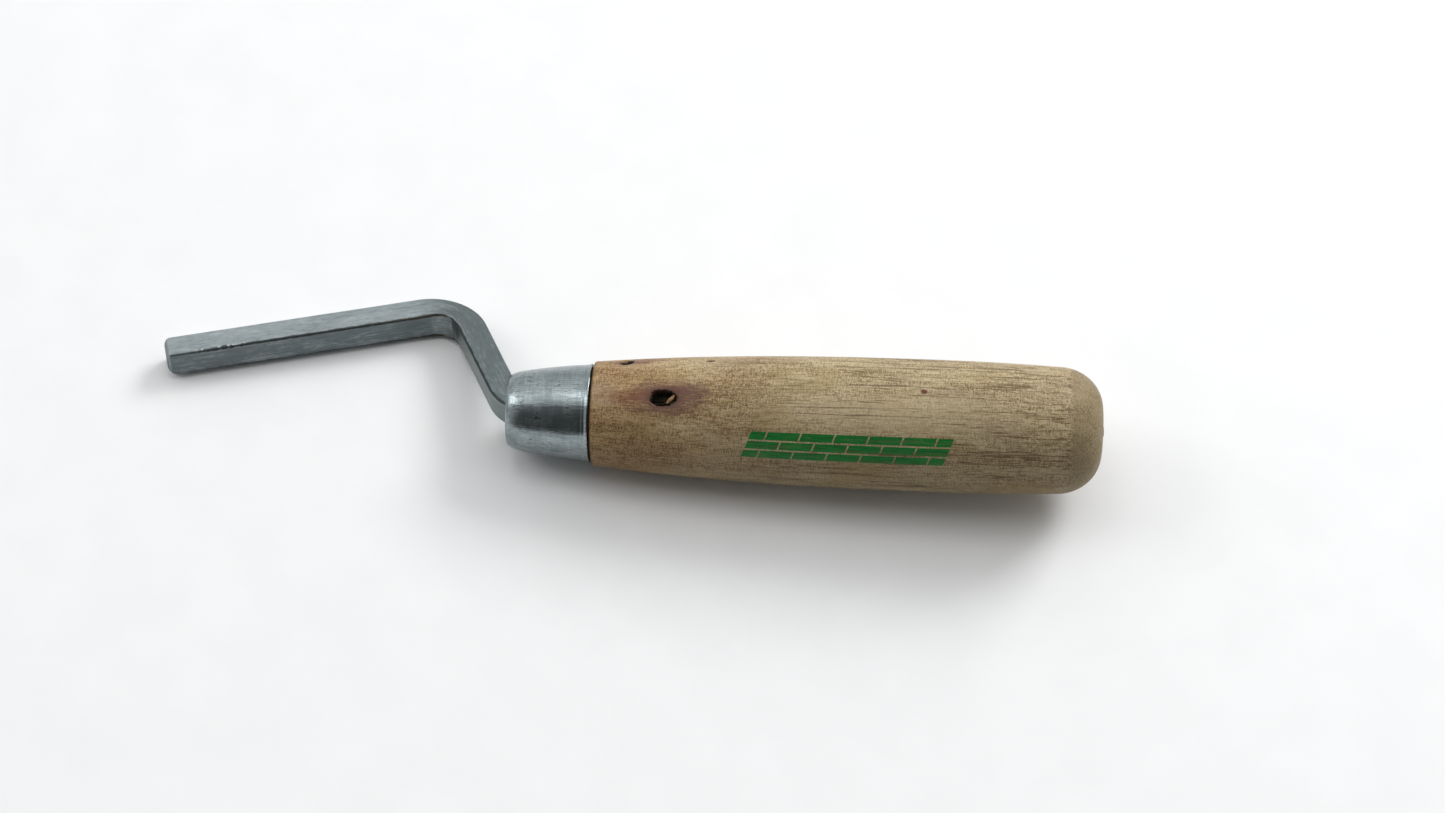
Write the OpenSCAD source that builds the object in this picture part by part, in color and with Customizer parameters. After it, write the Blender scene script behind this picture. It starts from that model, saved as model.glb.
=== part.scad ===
// Brick jointer: a square steel bar cranked twice, with its tang driven into
// a turned wooden handle that a tapered steel ferrule holds together.
//
// Each module is written in the tool's own working frame: X runs along the
// handle's axis towards the butt, with zero at the ferrule's rear edge, and
// both bends lie in the XY plane. lying_down() then turns the whole tool onto
// its handle and blade bend, as it rests on a bench at Z = 0.

/* [Bar] */
// Width and thickness of the square bar
bar_side = 6.45; // [5.5:0.05:7]
// Radius of the bar's long edges
bar_edge_r = 0.45; // [0.2:0.05:0.8]
// Length of the blade, from its tip to the corner of the blade bend
blade_len = 69.2; // [50:0.1:110]
// Radius of the edges round the blade's tip
tip_r = 1.4; // [0.5:0.1:2]
// Angle between the blade and the handle's axis, in degrees
blade_angle = 16; // [5:0.5:20]
// Angle between the crank arm and the handle's axis, in degrees
arm_angle = 65; // [55:1:70]
// Distance from the handle's axis to the corner of the blade bend
crank_offset = 32.6; // [28:0.1:45]
// Radius of the blade bend, on the bar's centre line
blade_bend_r = 11; // [8:0.1:12]
// Radius of the tang bend, on the bar's centre line
tang_bend_r = 8.7; // [7:0.1:10]
// How far inside the ferrule's mouth the tang bend's corner lies
tang_bend_depth = 0.4; // [0:0.1:2]
// Length of the tang's taper behind the ferrule
tang_len = 62; // [40:1:80]
// Width of the tang at its point
tang_point = 2.4; // [1.5:0.1:3]

/* [Ferrule] */
// Length of the ferrule
ferrule_len = 19.1; // [16:0.1:24]
// Thickness of the ferrule's wall
ferrule_wall = 0.8; // [0.6:0.05:1]
// Outer radius of the ferrule's front, before its shoulder is rounded
ferrule_front_r = 8.65; // [8.4:0.05:9]
// Outer radius of the ferrule's cone at its rear
ferrule_rear_r = 11; // [10.5:0.05:11.4]
// How far the rear lip flares beyond the cone
lip_flare = 0.6; // [0.2:0.05:0.7]
// Length of the rear lip
lip_len = 1.8; // [1.5:0.1:3.5]
// Length of the rounded shoulder
shoulder_len = 3.6; // [2:0.1:4.5]
// How far the shoulder turns in at the mouth
shoulder_drop = 1.05; // [0.6:0.05:1.2]
// Radius of the mouth
mouth_r = 7; // [6.8:0.1:7.2]

/* [Handle] */
// Length of the wood behind the ferrule
wood_len = 115.3; // [100:0.1:130]
// Largest radius of the handle
grip_r = 15; // [14:0.1:17]
// Distance from the ferrule to the handle's largest radius
belly_x = 76; // [60:1:85]
// How much thinner the handle is where it meets the ferrule
neck_drop = 3.2; // [2.5:0.1:3.2]
// How much thinner the handle is where the butt's rounding starts
tail_drop = 0.62; // [0.3:0.01:1]
// Length of the butt's rounding
butt_len = 10; // [7:0.5:12]
// How far the butt's rounding comes in
butt_drop = 9.2; // [7:0.1:11]
// Gap between the ferrule's rear edge and the wood's shoulder
wood_gap = 0.3; // [0.1:0.1:0.6]
// Depth of the wood's nose behind the ferrule's mouth
nose_depth = 2.2; // [1.5:0.1:4]
// Radius of the small stub that the lathe leaves on the butt
stub_r = 1.2; // [0.8:0.1:1.6]
// Height of that stub
stub_h = 0.45; // [0.2:0.05:0.8]
// Diameter of the pilot hole drilled for the tang
pilot_d = 4; // [3.5:0.1:4.5]
// Depth of the pilot hole behind the ferrule
pilot_depth = 70; // [64:1:90]

/* [Resting pose] */
// Roll about the handle that brings the blade bend down to the bench
lie_roll = -11.67; // [-20:0.01:0]
// Tilt of the handle's axis as it lies on its belly
lie_tilt = -3.32; // [-5:0.01:5]
// Height of the ferrule's centre above the bench
lie_height = 12.30; // [10:0.01:20]
// Shift that centres the tool on X = 0
lie_shift_x = -7.44; // [-30:0.01:30]
// Shift that centres the tool on Y = 0
lie_shift_y = -9.27; // [-30:0.01:30]

/* [Hidden] */
$fn = 96;
join = 0.1;
ease = 0.003;
overrun = 1;
ferrule_power = 1.35;
barrel_power = 2.4;
mouth_x = -ferrule_len;
tang_bend_x = mouth_x + tang_bend_depth;
blade_bend_x = tang_bend_x - crank_offset / tan(arm_angle);
arm_len = crank_offset / sin(arm_angle);
blade_bend_run = blade_bend_r * tan((arm_angle + blade_angle) / 2);
tang_bend_run = tang_bend_r * tan(arm_angle / 2);
butt_x = wood_len - butt_len;
ferrule_steps = 24;
front_bias = 1.6;
lip_steps = 6;
barrel_steps = 30;
butt_steps = 14;

// Outer radius of the ferrule at a distance s behind its mouth
function cone_r(s) = ferrule_rear_r - (ferrule_rear_r - ferrule_front_r)
    * pow(max(0, ferrule_len - lip_len - s) / (ferrule_len - lip_len), ferrule_power);
function shoulder_in(s) = s >= shoulder_len ? 0
    : shoulder_drop * (1 - sqrt(1 - pow((shoulder_len - s) / shoulder_len, 2)));
function lip_out(s) = lip_flare * pow(max(0, s - ferrule_len + lip_len) / lip_len, 2);
function ferrule_r(s) = cone_r(s) - shoulder_in(s) + lip_out(s);

// Outer radius of the wood at a distance x behind the ferrule
function barrel_r(x) = x < belly_x
    ? grip_r - neck_drop * pow((belly_x - x) / belly_x, barrel_power)
    : grip_r - tail_drop * pow((x - belly_x) / (butt_x - belly_x), 2);
function butt_in(x) = x <= butt_x ? 0
    : butt_drop * (1 - sqrt(max(0, 1 - pow((x - butt_x) / butt_len, 2))));

module rounded_square(side, r) {
    square([side - 2 * r, side], center = true);
    square([side, side - 2 * r], center = true);
    for (x = [-1, 1], y = [-1, 1])
        translate([x * (side / 2 - r), y * (side / 2 - r)]) circle(r);
}

// A straight stretch of bar from a point, in a direction within the XY plane.
// It is a hair thinner than the bends at its ends and reaches into them, so that they fuse.
module bar_run(from, direction, length) {
    translate(from) rotate([0, 0, direction]) translate([-join, 0, 0]) rotate([90, 0, 90])
        linear_extrude(length + 2 * join) rounded_square(bar_side - 2 * ease, bar_edge_r);
}

// A bent stretch of bar about a centre, between two angles
module bar_bend(centre, radius, start, sweep) {
    translate(centre) rotate([0, 0, start]) rotate_extrude(angle = sweep)
        translate([radius, 0]) rounded_square(bar_side, bar_edge_r);
}

// A plate with rounded corners at the tip, which trims the end of the blade.
// It is a hair wider than the bar, so that its sides and the bar's don't coincide.
module tip_plate(length) {
    width = bar_side + ease;
    rotate([0, 0, 180]) linear_extrude(bar_side + overrun, center = true) {
        translate([-overrun, -width / 2]) square([overrun + length - tip_r, width]);
        translate([-overrun, tip_r - width / 2]) square([overrun + length, width - 2 * tip_r]);
        for (y = [-1, 1]) translate([length - tip_r, y * (width / 2 - tip_r)]) circle(tip_r);
    }
}

module blade() {
    length = blade_len - blade_bend_run;
    translate([blade_bend_x, crank_offset, 0]) rotate([0, 0, blade_angle])
        translate([-blade_bend_run, 0, 0]) intersection() {
            bar_run([0, 0, 0], 180, length);
            tip_plate(length);
            rotate([90, 0, 0]) tip_plate(length);
        }
}

module blade_bend() {
    centre = [
        blade_bend_x - blade_bend_run * cos(blade_angle) + blade_bend_r * sin(blade_angle),
        crank_offset - blade_bend_run * sin(blade_angle) - blade_bend_r * cos(blade_angle),
        0
    ];
    bar_bend(centre, blade_bend_r, 90 - arm_angle, arm_angle + blade_angle);
}

module crank_arm() {
    start = [
        blade_bend_x + blade_bend_run * cos(arm_angle),
        crank_offset - blade_bend_run * sin(arm_angle),
        0
    ];
    bar_run(start, -arm_angle, arm_len - blade_bend_run - tang_bend_run);
}

module tang_bend() {
    bar_bend([tang_bend_x + tang_bend_run, tang_bend_r, 0], tang_bend_r, 270 - arm_angle, arm_angle);
}

module taper_plate() {
    linear_extrude(bar_side, center = true) polygon([
        [0, -bar_side / 2],
        [tang_len, -tang_point / 2],
        [tang_len, tang_point / 2],
        [0, bar_side / 2]
    ]);
}

module tang() {
    start = tang_bend_x + tang_bend_run;
    bar_run([start, 0, 0], 0, -start);
    intersection() {
        bar_run([0, 0, 0], 0, tang_len);
        taper_plate();
        rotate([90, 0, 0]) taper_plate();
    }
}

module bar_shape() {
    blade();
    blade_bend();
    crank_arm();
    tang_bend();
    tang();
}

// The ferrule's closed outline: outside, rear lip, inside and mouth
module ferrule_outline() {
    body_end = ferrule_len - lip_len;
    outside = concat(
        [for (i = [0:ferrule_steps]) body_end * pow(i / ferrule_steps, front_bias)],
        [for (i = [1:lip_steps]) body_end + lip_len * i / lip_steps]
    );
    inside = [for (i = [len(outside) - 1:-1:0]) if (outside[i] > ferrule_wall) outside[i]];
    polygon(concat(
        [for (s = outside) [ferrule_r(s), s]],
        [for (s = inside) [ferrule_r(s) - ferrule_wall, s]],
        [[ferrule_r(ferrule_wall) - ferrule_wall, ferrule_wall], [mouth_r, ferrule_wall]],
        [[mouth_r, 0]]
    ));
}

// Turn a profile drawn as [radius, distance] about the handle's axis
module turned(from) {
    translate([from, 0, 0]) rotate([0, 90, 0]) rotate_extrude() children();
}

module lying_down() {
    translate([lie_shift_x, lie_shift_y, lie_height])
        rotate([0, lie_tilt, 0]) rotate([lie_roll, 0, 0]) children();
}

module cranked_bar() {
    color("#8f989a") lying_down() bar_shape();
}

module ferrule() {
    color("#a9b1b3") lying_down() difference() {
        turned(mouth_x) ferrule_outline();
        bar_shape();
    }
}

module wood_handle() {
    tenon_end = ferrule_len - lip_len / 2;
    tenon_step = (tenon_end - nose_depth) / ferrule_steps;
    tenon = [for (i = [0:ferrule_steps]) nose_depth + tenon_step * i];
    barrel = [for (i = [0:barrel_steps]) wood_gap + (butt_x - wood_gap) * i / barrel_steps];
    butt = [for (i = [1:butt_steps]) butt_x + butt_len * sin(90 * i / butt_steps)];
    color("#b08a5e") lying_down() difference() {
        union() {
            turned(0) polygon(concat(
                [[0, nose_depth - ferrule_len]],
                [for (s = tenon) [ferrule_r(s) - ferrule_wall, s - ferrule_len]],
                [[ferrule_r(tenon_end) - ferrule_wall, wood_gap]],
                [for (x = barrel) [barrel_r(x), x]],
                [for (x = butt) [barrel_r(butt_x) - butt_in(x), x]],
                [[0, wood_len]]
            ));
            translate([wood_len - join, 0, 0]) rotate([0, 90, 0])
                cylinder(h = stub_h + join, r = stub_r);
        }
        translate([-ferrule_len, 0, 0]) rotate([0, 90, 0])
            cylinder(h = ferrule_len + pilot_depth, d = pilot_d);
        bar_shape();
    }
}

cranked_bar();
ferrule();
wood_handle();
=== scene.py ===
"""Brick jointer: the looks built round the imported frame.

Every piece is written in the tool's own working frame, in millimetres: X runs along the handle's
axis towards the butt with zero at the ferrule's rear edge, and both bends of the bar lie in the
XY plane. LYING then takes it to the frame's resting pose, in metres.
"""
import math

import bmesh
import bpy
import numpy as np
from mathutils import Matrix, Vector, noise


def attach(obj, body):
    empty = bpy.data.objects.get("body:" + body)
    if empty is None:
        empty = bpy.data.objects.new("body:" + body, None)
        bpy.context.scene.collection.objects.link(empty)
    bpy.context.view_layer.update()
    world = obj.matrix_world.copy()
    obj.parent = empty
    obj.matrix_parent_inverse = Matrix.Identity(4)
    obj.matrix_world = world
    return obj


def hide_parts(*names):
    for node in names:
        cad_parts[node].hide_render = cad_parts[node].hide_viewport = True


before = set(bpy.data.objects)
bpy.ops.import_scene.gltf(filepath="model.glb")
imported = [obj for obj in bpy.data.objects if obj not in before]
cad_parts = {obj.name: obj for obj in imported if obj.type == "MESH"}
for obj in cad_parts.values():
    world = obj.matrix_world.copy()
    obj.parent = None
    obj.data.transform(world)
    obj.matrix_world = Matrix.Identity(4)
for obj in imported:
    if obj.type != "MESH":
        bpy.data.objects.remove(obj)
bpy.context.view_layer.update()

# ---------------------------------------------------------------- resting pose
LIE_ROLL, LIE_TILT = math.radians(-11.67), math.radians(-3.32)
LIE_SHIFT = Vector((-7.44, -9.27, 12.30))
MM = 0.001

# ---------------------------------------------------------------- bar, in millimetres
BAR = 6.45
EDGE = 0.45
BLADE_LEN = 69.2
TIP_R, TIP_WEAR_R = 1.4, 2.4
BLADE_ANGLE, ARM_ANGLE = math.radians(16), math.radians(65)
BEND_TURN = BLADE_ANGLE + ARM_ANGLE
CRANK_OFFSET = 32.6
BLADE_BEND_R, TANG_BEND_R = 11.0, 8.7
INNER_BEND_R = 5.0
# at the blade bend the inner side is squeezed wider and the outer side is drawn narrower
BEND_BULGE, OUTER_DRAW, BULGE_RUN = 0.6, 0.12, 0.3
TANG_LEN, TANG_POINT = 62.0, 2.4
LOWER_SPREAD, LOWER_SPREAD_RUN = 0.32, (15.0, 5.0)  # towards the tip, towards the hand
# a crease across the inner face of the blade bend: a share of the bend's length, then its shape
CREASE_AT, CREASE_DEEP, CREASE_HALF, CREASE_SLANT = 0.6, 0.22, 0.28, 0.105
# torn metal along the near inner edge, strongest a short way from the tip
TORN_AT, TORN_RUN, TORN_DEEP, TORN_SPREAD = 14, 6, 0.2, 0.2
TIP_STEPS, BLADE_STEPS, BEND_STEPS, ARM_STEPS = 9, 140, 56, 44
TANG_BEND_STEPS, STRAIGHT_TANG_STEPS, TAPER_STEPS = 40, 20, 30

# ---------------------------------------------------------------- ferrule
FERRULE_LEN, FERRULE_WALL = 19.1, 0.8
FERRULE_FRONT_R, FERRULE_REAR_R, FERRULE_POWER = 8.65, 11.0, 1.35
LIP_FLARE, LIP_LEN = 0.6, 1.8
SHOULDER_LEN, SHOULDER_DROP = 3.6, 1.05
MOUTH_R = 7.0
BEAD_H, BEAD_W, BEAD_AHEAD = 0.08, 0.2, -0.35
TANG_BEND_X = -FERRULE_LEN + 0.4
# the mouth's rounded rim: depths as shares of the wall, and how far each stands outside the mouth
RIM = ((1.0, 0.35), (0.85, 0.08), (0.5, 0.0), (0.22, 0.08))
RIM_FRONT = 0.3
SHELL_STEPS, SHELL_SIDES = 110, 288
# knocks: place along the ferrule and round it from its lowest side, half length, half width
KNOCKS = ((-6.9, 2.5, 2.7, 0.13), (-11.2, 1.9, 1.4, 0.12), (-13.1, -0.4, 0.35, 0.3))

# ---------------------------------------------------------------- handle
WOOD_LEN, GRIP_R, BELLY_X = 115.3, 15.0, 76.0
NECK_DROP, TAIL_DROP, BARREL_POWER = 3.2, 0.62, 2.4
BUTT_LEN, BUTT_DROP = 10.0, 9.2
WOOD_GAP, NOSE_DEPTH = 0.3, 2.2
STUB_R, STUB_H = 1.2, 0.45
BUTT_X = WOOD_LEN - BUTT_LEN
HANDLE_SIDES = 460
BARREL_STEP, FINE_STEP = 0.35, 0.11
ROUND_R = 14.7     # the radius that turns an angle into a length round the handle
SANDED_X = 107.2   # where the turned barrel gives way to the sanded butt

# marks in the wood: place along the handle, angle round it in degrees, half length, half height
KNOT = (16.9, 118.0, 3.0, 2.05)     # an open knot, whose core has fallen out
SMALL_KNOT = (7.8, 64.3, 1.7, 1.8)
DASH = (26.8, 68.6, 1.1, 0.5)
SPECK = (74.9, 105.8, 0.75, 0.6)
# the printed band: place along the handle, angle round it in degrees, whole length, whole height
PRINT = (58.2, 159.5, 45.5, 6.9)
PRINT_SLANT = math.radians(20)
BRICK_COURSES, BRICKS_LONG, BRICK_JOINT = 3, 6, 0.42

SKIN = 0.015        # how far the visible surfaces stay inside the frame's solids
AXIS_GAP = 0.02     # the least radius of a turned surface
SAME_PLACE = 1e-7   # doubled points that are merged, in metres


def laid_down(scale):
    """The move from the working frame to the resting pose, at a scale."""
    return (
        Matrix.Scale(scale, 4)
        @ Matrix.Translation(LIE_SHIFT)
        @ Matrix.Rotation(LIE_TILT, 4, "Y")
        @ Matrix.Rotation(LIE_ROLL, 4, "X")
    )


LYING = laid_down(MM)


# ================================================================ meshes
def grid_mesh(name, points, coords, closed_ends=True, wrap_scale=(1.0, 1.0)):
    """A mesh from rings of points, shape (rings, around, 3), with its own-frame coordinates."""
    rings, around = points.shape[:2]
    verts = points.reshape(-1, 3)
    own = coords.reshape(-1, 3)
    i, j = np.meshgrid(np.arange(rings - 1), np.arange(around), indexing="ij")
    k = (j + 1) % around
    quads = np.stack([i * around + j, i * around + k, (i + 1) * around + k, (i + 1) * around + j], -1)
    faces = [tuple(q) for q in quads.reshape(-1, 4)]
    uv = np.stack([
        np.stack([i, i, i + 1, i + 1], -1) / (rings - 1) * wrap_scale[0],
        np.stack([j, j + 1, j + 1, j], -1) / around * wrap_scale[1],
    ], -1).reshape(-1, 2)
    if closed_ends:
        first, last = len(verts), len(verts) + 1
        verts = np.vstack([verts, points[0].mean(0), points[-1].mean(0)])
        own = np.vstack([own, coords[0].mean(0), coords[-1].mean(0)])
        base = (rings - 1) * around
        faces += [(first, (j + 1) % around, j) for j in range(around)]
        faces += [(last, base + j, base + (j + 1) % around) for j in range(around)]
        cap = np.zeros((6 * around, 2))
        cap[:, 1] = np.tile([0.5, 0.6, 0.4], 2 * around) * wrap_scale[1]
        cap[3 * around:, 0] = wrap_scale[0]
        uv = np.vstack([uv, cap])
    mesh = bpy.data.meshes.new(name)
    mesh.from_pydata(verts.tolist(), [], faces)
    mesh.update()
    layer = mesh.uv_layers.new(name="skin")
    layer.data.foreach_set("uv", uv.ravel())
    attribute = mesh.attributes.new("own", "FLOAT_VECTOR", "POINT")
    attribute.data.foreach_set("vector", own.astype(np.float32).ravel())
    mesh.transform(LYING)
    for polygon in mesh.polygons:
        polygon.use_smooth = True
    piece = bpy.data.objects.new(name, mesh)
    bpy.context.scene.collection.objects.link(piece)
    return piece


def face_outward(piece, merge=False):
    """Turns a closed mesh's faces outward, after joining its doubled points where asked."""
    work = bmesh.new()
    work.from_mesh(piece.data)
    if merge:
        bmesh.ops.remove_doubles(work, verts=work.verts, dist=SAME_PLACE)
    bmesh.ops.recalc_face_normals(work, faces=work.faces)
    work.to_mesh(piece.data)
    work.free()


def rough(p, scale, seed=0.0):
    """Smooth noise from -1 to 1 at each point, with a length of about 1/scale millimetres."""
    scale = np.broadcast_to(scale, (3,))
    flat = p.reshape(-1, 3) * scale + seed
    return np.array([noise.noise(Vector(q)) for q in flat]).reshape(p.shape[:-1])


def smooth_step(x, low, high):
    t = np.clip((x - low) / (high - low), 0, 1)
    return t * t * (3 - 2 * t)


# ================================================================ cranked bar
def on_plane(x, y):
    return np.array([x, y], float)


# The bar's path in the bend plane, by distance from the tip. The corner is where the middle lines of
# the blade and the crank arm would meet.
CORNER = on_plane(TANG_BEND_X - CRANK_OFFSET / math.tan(ARM_ANGLE), CRANK_OFFSET)
TO_TIP = -on_plane(math.cos(BLADE_ANGLE), math.sin(BLADE_ANGLE))
TO_HAND = on_plane(math.cos(ARM_ANGLE), -math.sin(ARM_ANGLE))
BLADE_UP = on_plane(-math.sin(BLADE_ANGLE), math.cos(BLADE_ANGLE))
ARM_UP = on_plane(math.sin(ARM_ANGLE), math.cos(ARM_ANGLE))
HALF = BAR / 2
BLADE_RUN = BLADE_BEND_R * math.tan(BEND_TURN / 2)
TANG_RUN = TANG_BEND_R * math.tan(ARM_ANGLE / 2)
BEND_START = BLADE_LEN - BLADE_RUN
BEND_LEN = BLADE_BEND_R * BEND_TURN
ARM_START = BEND_START + BEND_LEN
ARM_LEN = CRANK_OFFSET / math.sin(ARM_ANGLE) - BLADE_RUN - TANG_RUN
TANG_BEND_START = ARM_START + ARM_LEN
TANG_START = TANG_BEND_START + TANG_BEND_R * ARM_ANGLE


def blade_stations():
    """Places on the blade's inner and outer faces, closer together at the tip's rounded edge."""
    tip = TIP_R * (1 - np.cos(np.linspace(0, math.pi / 2, TIP_STEPS)))
    for s in np.concatenate([tip, np.linspace(TIP_R, BEND_START, BLADE_STEPS)[1:]]):
        middle = CORNER + TO_TIP * (BLADE_LEN - s)
        yield middle - BLADE_UP * HALF, middle + BLADE_UP * HALF, s


def inner_bend_place(share):
    """A place on the blade bend's inner face, which runs straight, then tightly round, then straight."""
    straight = BLADE_RUN - HALF * math.tan(BEND_TURN / 2) - INNER_BEND_R * math.tan(BEND_TURN / 2)
    path = 2 * straight + INNER_BEND_R * BEND_TURN
    start = CORNER + TO_TIP * BLADE_RUN - BLADE_UP * HALF
    centre = start - TO_TIP * straight - BLADE_UP * INNER_BEND_R
    d = path * share
    if d < straight:
        return start - TO_TIP * d
    if d < straight + INNER_BEND_R * BEND_TURN:
        a = math.pi / 2 + BLADE_ANGLE - (d - straight) / INNER_BEND_R
        return centre + INNER_BEND_R * on_plane(math.cos(a), math.sin(a))
    end = CORNER + TO_HAND * BLADE_RUN - ARM_UP * HALF
    return end - TO_HAND * (path - d)


def blade_bend_stations():
    """The blade bend, as a bar has that was pressed over a tool: its inner radius is tighter than the
    bar's thickness would give, its outer face keeps a wide one, and the bar thins between them.
    """
    centre = CORNER + TO_TIP * BLADE_RUN - BLADE_UP * BLADE_BEND_R
    for n in range(1, BEND_STEPS + 1):
        share = n / BEND_STEPS
        a = math.pi / 2 + BLADE_ANGLE - BEND_TURN * share
        outer = centre + (BLADE_BEND_R + HALF) * on_plane(math.cos(a), math.sin(a))
        yield inner_bend_place(share), outer, BEND_START + BEND_LEN * share


def arm_stations():
    for s in np.linspace(0, ARM_LEN, ARM_STEPS)[1:]:
        middle = CORNER + TO_HAND * (BLADE_RUN + s)
        yield middle - ARM_UP * HALF, middle + ARM_UP * HALF, ARM_START + s


def tang_bend_stations():
    centre = on_plane(TANG_BEND_X + TANG_RUN, TANG_BEND_R)
    for n in range(1, TANG_BEND_STEPS + 1):
        a = 1.5 * math.pi - ARM_ANGLE * (1 - n / TANG_BEND_STEPS)
        ray = on_plane(math.cos(a), math.sin(a))
        s = TANG_BEND_START + TANG_BEND_R * ARM_ANGLE * n / TANG_BEND_STEPS
        yield centre + ray * (TANG_BEND_R + HALF), centre + ray * (TANG_BEND_R - HALF), s


def tang_stations():
    """The tang: straight into the wood, then tapered to its point."""
    start = TANG_BEND_X + TANG_RUN
    straight = np.linspace(start, 0, STRAIGHT_TANG_STEPS)[1:]
    taper = np.linspace(0, TANG_LEN, TAPER_STEPS)[1:]
    for x in np.concatenate([straight, taper]):
        half = HALF - (HALF - TANG_POINT / 2) * max(0.0, x) / TANG_LEN
        yield on_plane(x, -half), on_plane(x, half), TANG_START + x - start


def bar_ring(half_t, half_w, edge, flat=10, corner=5):
    """Places round a rounded rectangle, as thickness and width offsets, anticlockwise."""
    ring = []
    quarter = np.linspace(0, math.pi / 2, corner + 1)
    centres = [(1, 1), (-1, 1), (-1, -1), (1, -1)]
    for n, (st, sw) in enumerate(centres):
        ct, cw = st * (half_t - edge), sw * (half_w - edge)
        for a in quarter + n * math.pi / 2:
            ring.append((ct + edge * math.cos(a), cw + edge * math.sin(a)))
        nt, nw = centres[(n + 1) % 4]
        a = quarter[-1] + n * math.pi / 2
        q = (nt * (half_t - edge) + edge * math.cos(a), nw * (half_w - edge) + edge * math.sin(a))
        p = ring[-1]
        for f in np.arange(1, flat) / flat:
            ring.append((p[0] + (q[0] - p[0]) * f, p[1] + (q[1] - p[1]) * f))
    return np.array(ring)


def bar_section(half_t, s):
    """The bar's section at a place along it, as thickness and width offsets."""
    inset = TIP_R - math.sqrt(max(0, TIP_R ** 2 - max(0, TIP_R - s) ** 2))
    taper = min(1.0, half_t / HALF) if s > BEND_START + BEND_LEN else 1.0
    ring = bar_ring(half_t - inset - SKIN, HALF * taper - inset - SKIN, EDGE)
    from_bend = s - BEND_START - BEND_LEN / 2
    bell = math.exp(-(from_bend / (BEND_LEN * BULGE_RUN)) ** 2)
    side = -ring[:, 0] / HALF
    swell = bell * BEND_BULGE * (0.5 * (side + 1)) ** 1.5 - bell * OUTER_DRAW * (0.5 * (1 - side))
    ring[:, 1] *= 1 + swell / HALF
    # the lower edge of the inner face was spread for some way along the blade as well
    run_out = LOWER_SPREAD_RUN[0] if s < BEND_START + BEND_LEN / 2 else LOWER_SPREAD_RUN[1]
    spread = LOWER_SPREAD * math.exp(-(from_bend / run_out) ** 2)
    lower = np.clip(-ring[:, 1] / HALF, 0, 1) * np.clip(0.5 * (side + 1), 0, 1)
    ring[:, 1] -= spread * lower
    # the tip's lower corner is worn rounder than the others
    worn = TIP_WEAR_R - math.sqrt(max(0, TIP_WEAR_R ** 2 - max(0, TIP_WEAR_R - s) ** 2)) - inset
    ring[:, 1] += max(0, worn) * np.clip(-ring[:, 1] / HALF, 0, 1)
    return ring


def bar_sink(own):
    """How far the bar's surface sinks: an uneven skin, the torn edge and the crease."""
    s, t, w = own[..., 0], own[..., 1], own[..., 2]
    sunk = 0.02 * (rough(own, (0.12, 0.5, 0.5)) - 0.6)
    torn_edge = np.exp(-((t + HALF) ** 2 + (w - HALF) ** 2) / TORN_SPREAD)
    torn_at = 0.15 + 0.85 * np.exp(-((s - TORN_AT) / TORN_RUN) ** 2)
    sunk -= torn_edge * torn_at * TORN_DEEP * np.abs(rough(own, (1.1, 0.2, 0.2), 7.0))
    on_inner = smooth_step(-t, HALF - 0.7, HALF - 0.2)
    crease_s = BEND_START + BEND_LEN * CREASE_AT
    crease = np.exp(-((s - crease_s + CREASE_SLANT * w) / CREASE_HALF) ** 2)
    sunk -= on_inner * crease * CREASE_DEEP
    return np.minimum(sunk, 0)


def make_bar():
    stretches = (blade_stations, blade_bend_stations, arm_stations, tang_bend_stations, tang_stations)
    rings, straightened = [], []
    for stretch in stretches:
        for inner, outer, s in stretch():
            half_t = np.linalg.norm(outer - inner) / 2
            ring = bar_section(half_t, s)
            across = (outer - inner) / (2 * half_t)
            xy = (inner + outer) / 2 + ring[:, :1] * across
            rings.append(np.column_stack([xy, ring[:, 1]]))
            straightened.append(np.column_stack([np.full(len(ring), s), ring]))
    points, own = np.array(rings), np.array(straightened)
    out = points - points.mean(1, keepdims=True)
    out /= np.linalg.norm(out, axis=-1, keepdims=True) + 1e-9
    points = points + out * bar_sink(own)[..., None]
    bar = grid_mesh("cranked_bar_steel", points, own, wrap_scale=(8, 1))
    face_outward(bar)
    return bar


# ================================================================ turned pieces
def turned(name, profile, angles, shape, closed_ends=True):
    """Turns (x, radius) places about the handle's axis.

    shape(x, angle, own) gives how far each point sinks and how far it moves along the axis. A
    profile that closes on itself has no end caps, and its doubled ring is merged.
    """
    x = np.array([p[0] for p in profile])[:, None] + 0 * angles
    r = np.array([p[1] for p in profile])[:, None] + 0 * angles
    own = np.stack([x, r * np.cos(angles), r * np.sin(angles)], -1)
    sink, shift = shape(x, angles + 0 * x, own)
    sunk_r = np.maximum(r - sink, AXIS_GAP)
    points = np.stack([x + shift, sunk_r * np.cos(angles), sunk_r * np.sin(angles)], -1)
    piece = grid_mesh(name, points, own, closed_ends)
    face_outward(piece, merge=not closed_ends)
    return piece


def ferrule_r(s):
    """The ferrule's outer radius at a distance behind its mouth."""
    body = FERRULE_LEN - LIP_LEN
    narrowing = (max(0.0, body - s) / body) ** FERRULE_POWER
    cone = FERRULE_REAR_R - (FERRULE_REAR_R - FERRULE_FRONT_R) * narrowing
    if s < SHOULDER_LEN:
        cone -= SHOULDER_DROP * (1 - math.sqrt(1 - ((SHOULDER_LEN - s) / SHOULDER_LEN) ** 2))
    bead = BEAD_H * math.exp(-((s - body + BEAD_AHEAD) / BEAD_W) ** 2)
    return cone + bead + LIP_FLARE * (max(0.0, s - body) / LIP_LEN) ** 2


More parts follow.
